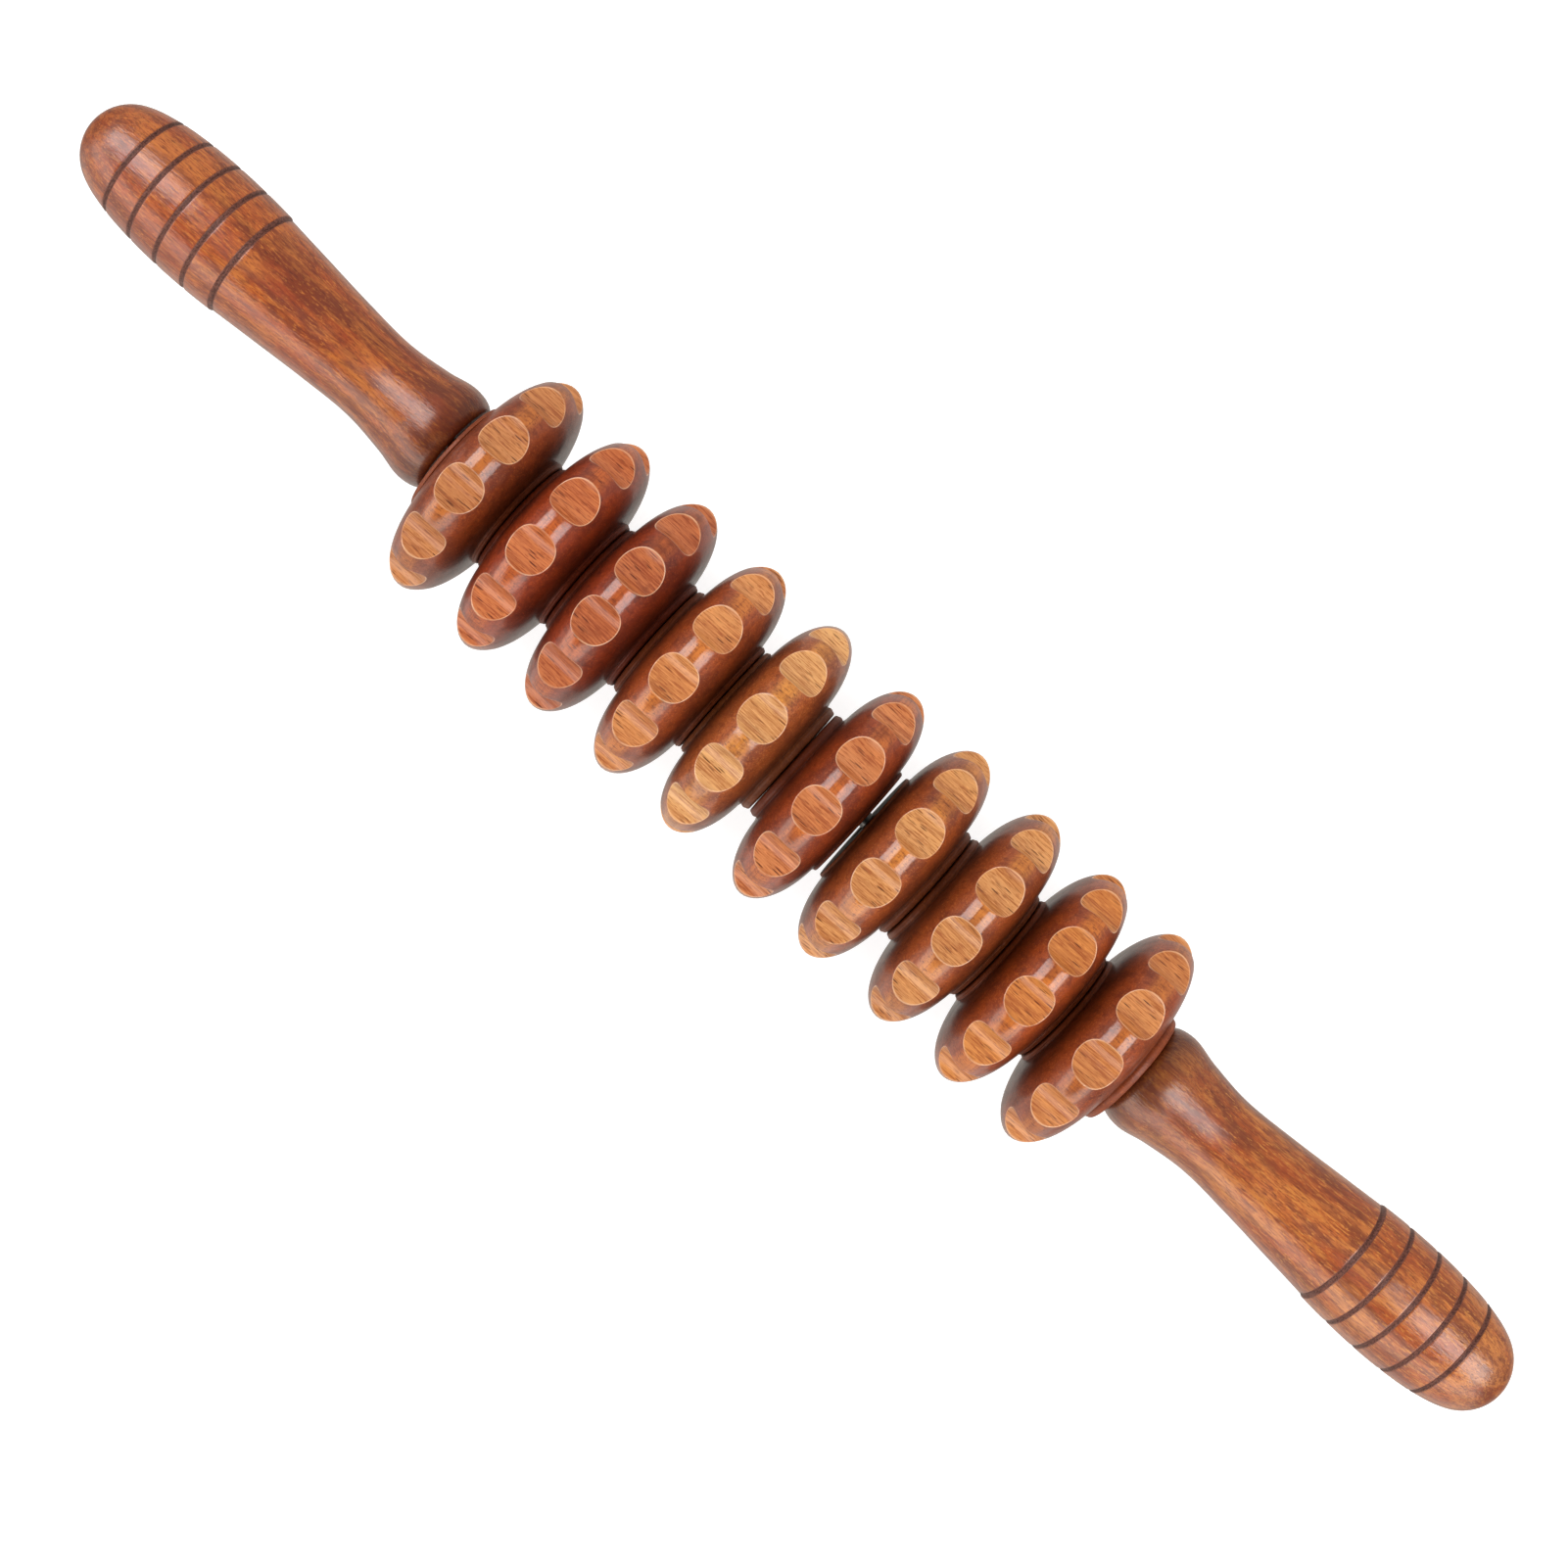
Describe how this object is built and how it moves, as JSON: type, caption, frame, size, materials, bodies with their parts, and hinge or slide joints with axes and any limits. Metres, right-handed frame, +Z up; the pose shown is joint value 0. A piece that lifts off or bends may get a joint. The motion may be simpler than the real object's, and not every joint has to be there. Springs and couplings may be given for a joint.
{
  "type": "wooden roller massager",
  "caption": "Hand-held massage stick: two turned wooden handles on a steel rod, with a row of notched wooden rollers that spin freely between them.",
  "frame": {"origin": "on the axis that the rollers spin about, halfway between the two handles' tips", "axes": "+X along the rod from the left handle to the right handle, +Z up, away from the surface that the rollers lie on, +Y to the side on which the rod shows through the loose bores"},
  "size_m": [0.43, 0.06, 0.06],
  "materials": {
    "rod_steel": "dull drawn steel",
    "handle_wood": "stained reddish brown, clear gloss lacquer",
    "roller_wood_orange": "stained orange brown, satin lacquer",
    "roller_wood_red": "stained red brown, satin lacquer",
    "roller_wood_tan": "stained tan, satin lacquer"
  },
  "bodies": {
    "handle_bar": {"core_rod": "rod_steel", "left_handle": "handle_wood", "right_handle": "handle_wood"},
    "roller_01": {"roller_01": "roller_wood_orange"},
    "roller_02": {"roller_02": "roller_wood_red"},
    "roller_03": {"roller_03": "roller_wood_red"},
    "roller_04": {"roller_04": "roller_wood_tan"},
    "roller_05": {"roller_05": "roller_wood_tan"},
    "roller_06": {"roller_06": "roller_wood_orange"},
    "roller_07": {"roller_07": "roller_wood_tan"},
    "roller_08": {"roller_08": "roller_wood_tan"},
    "roller_09": {"roller_09": "roller_wood_orange"},
    "roller_10": {"roller_10": "roller_wood_orange"}
  },
  "joints": [
    {"name": "roller_01_spin", "type": "hinge", "parent": "handle_bar", "child": "roller_01", "pos_m": [-0.0935, 0, 0], "axis": [1, 0, 0], "continuous": true},
    {"name": "roller_02_spin", "type": "hinge", "parent": "handle_bar", "child": "roller_02", "pos_m": [-0.073, 0, 0], "axis": [1, 0, 0], "continuous": true},
    {"name": "roller_03_spin", "type": "hinge", "parent": "handle_bar", "child": "roller_03", "pos_m": [-0.0523, 0, 0], "axis": [1, 0, 0], "continuous": true},
    {"name": "roller_04_spin", "type": "hinge", "parent": "handle_bar", "child": "roller_04", "pos_m": [-0.0313, 0, 0], "axis": [1, 0, 0], "continuous": true},
    {"name": "roller_05_spin", "type": "hinge", "parent": "handle_bar", "child": "roller_05", "pos_m": [-0.0111, 0, 0], "axis": [1, 0, 0], "continuous": true},
    {"name": "roller_06_spin", "type": "hinge", "parent": "handle_bar", "child": "roller_06", "pos_m": [0.011, 0, 0], "axis": [1, 0, 0], "continuous": true},
    {"name": "roller_07_spin", "type": "hinge", "parent": "handle_bar", "child": "roller_07", "pos_m": [0.0311, 0, 0], "axis": [1, 0, 0], "continuous": true},
    {"name": "roller_08_spin", "type": "hinge", "parent": "handle_bar", "child": "roller_08", "pos_m": [0.0526, 0, 0], "axis": [1, 0, 0], "continuous": true},
    {"name": "roller_09_spin", "type": "hinge", "parent": "handle_bar", "child": "roller_09", "pos_m": [0.073, 0, 0], "axis": [1, 0, 0], "continuous": true},
    {"name": "roller_10_spin", "type": "hinge", "parent": "handle_bar", "child": "roller_10", "pos_m": [0.0932, 0, 0], "axis": [1, 0, 0], "continuous": true}
  ]
}
